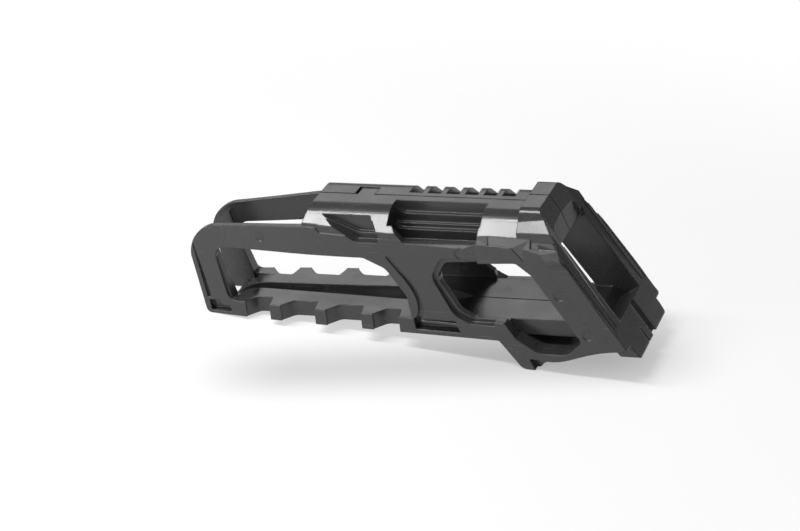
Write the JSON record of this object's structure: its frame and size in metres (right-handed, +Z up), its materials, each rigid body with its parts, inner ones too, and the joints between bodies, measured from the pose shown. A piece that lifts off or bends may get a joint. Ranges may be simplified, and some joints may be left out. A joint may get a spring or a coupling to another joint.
{
  "type": "motorcycle chain guide",
  "caption": "Moulded chain guide of two clipped halves: forked rear arms over notched pads, a box with a ribbed roof and pocketed side, and a leaning front frame with the chain window.",
  "frame": {"origin": "middle of the bounding box at the level of the lowest point, the tip of the lugs", "axes": "+X along the guide to the leaning front frame, +Y across the chain to the inboard half, +Z up to the ribbed roof"},
  "size_m": [0.1985, 0.0528, 0.0672],
  "materials": {
    "outboard_half": "satin black moulded",
    "inboard_half": "satin black moulded"
  },
  "bodies": {
    "root": {"outboard_half": "outboard_half", "inboard_half": "inboard_half"}
  },
  "joints": []
}
